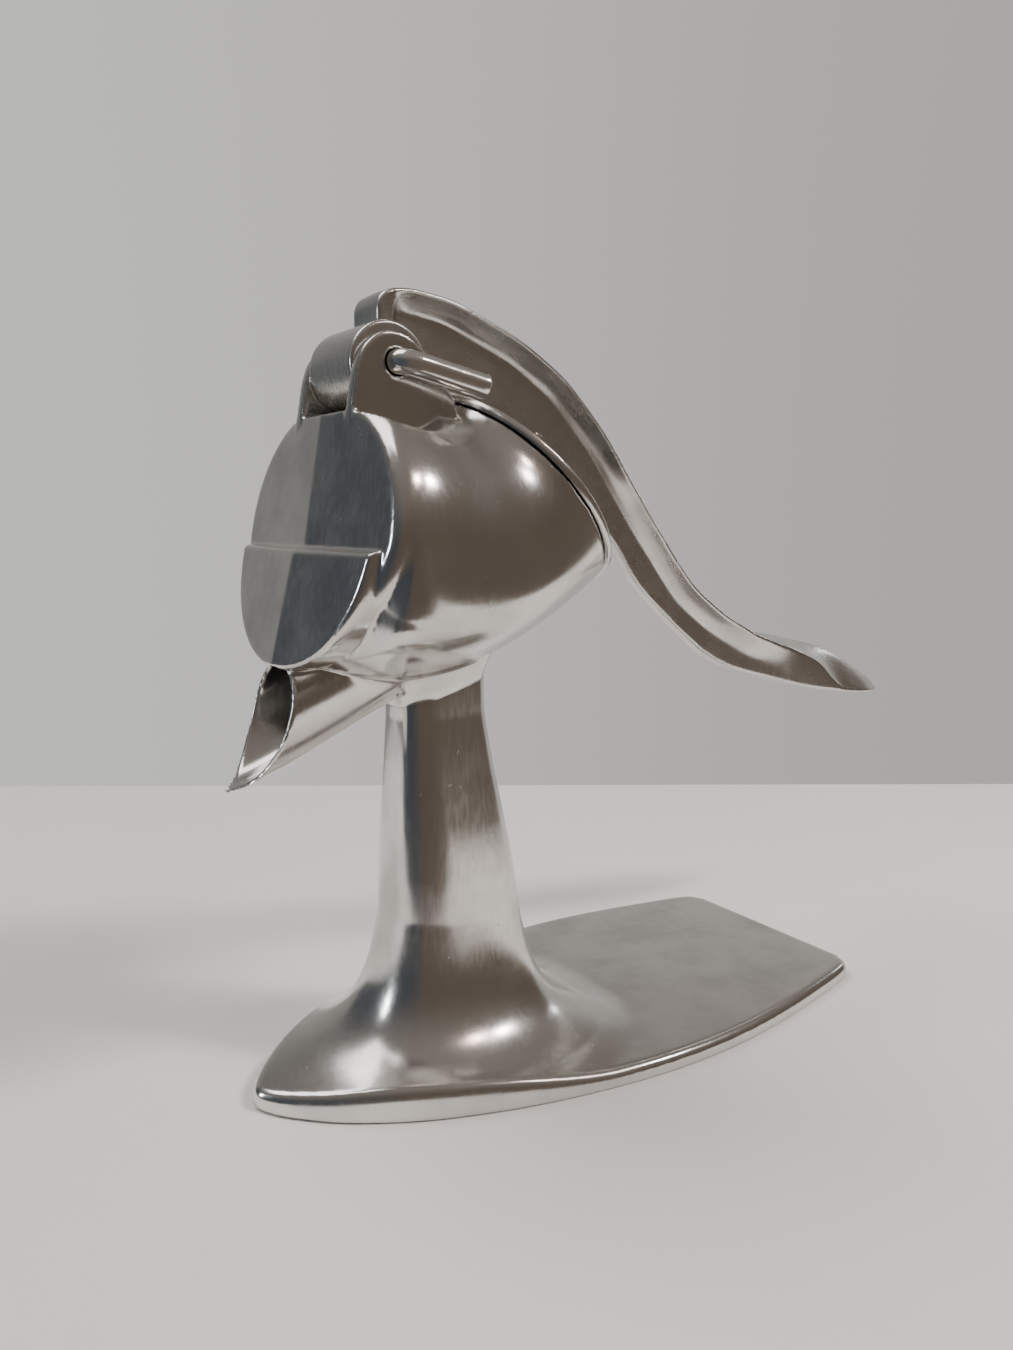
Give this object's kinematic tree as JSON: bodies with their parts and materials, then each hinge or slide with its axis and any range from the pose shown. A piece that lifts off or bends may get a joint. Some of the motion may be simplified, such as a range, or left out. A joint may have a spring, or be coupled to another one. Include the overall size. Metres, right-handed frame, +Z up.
{
  "type": "lever citrus press",
  "caption": "Hand press that squeezes half a citrus fruit: a curved lever pushes a dome into a strainer cup, and juice runs out of a spout in front.",
  "frame": {"origin": "on the base's flat underside, on the object's middle plane and half way along the base", "axes": "+Z up; +Y from the spout towards the lever's grip, the longest way; +X to the side the bent hinge pin's leg comes out"},
  "size_m": [0.1326, 0.3391, 0.2792],
  "materials": {
    "cast_aluminium": "polished casting, satin in places",
    "cup_aluminium": "satin",
    "dome_aluminium": "polished",
    "pin_steel": "satin",
    "bright_steel": "bright polished",
    "fastener_steel": "zinc plated"
  },
  "bodies": {
    "base": {"stand_casting": "cast_aluminium", "head_casting": "cast_aluminium", "strainer_cup": "cup_aluminium", "head_bolt": "fastener_steel", "bolt_washer": "fastener_steel", "spring_washer": "fastener_steel"},
    "lever": {"lever_casting": "cast_aluminium", "dome_pin": "pin_steel"},
    "dome": {"press_dome": "dome_aluminium"},
    "pin": {"hinge_pin": "bright_steel"}
  },
  "joints": [
    {"name": "lever_hinge", "type": "hinge", "parent": "base", "child": "lever", "pos_m": [0, -0.0806, 0.2526], "axis": [1, 0, 0], "range_deg": [0, 110]},
    {"name": "dome_tilt", "type": "hinge", "parent": "lever", "child": "dome", "pos_m": [0, -0.01449, 0.21937], "axis": [1, 0, 0], "range_deg": [-6, 0]},
    {"name": "pin_slide", "type": "slide", "parent": "base", "child": "pin", "axis": [1, 0, 0], "range_m": [0, 0.07]}
  ]
}
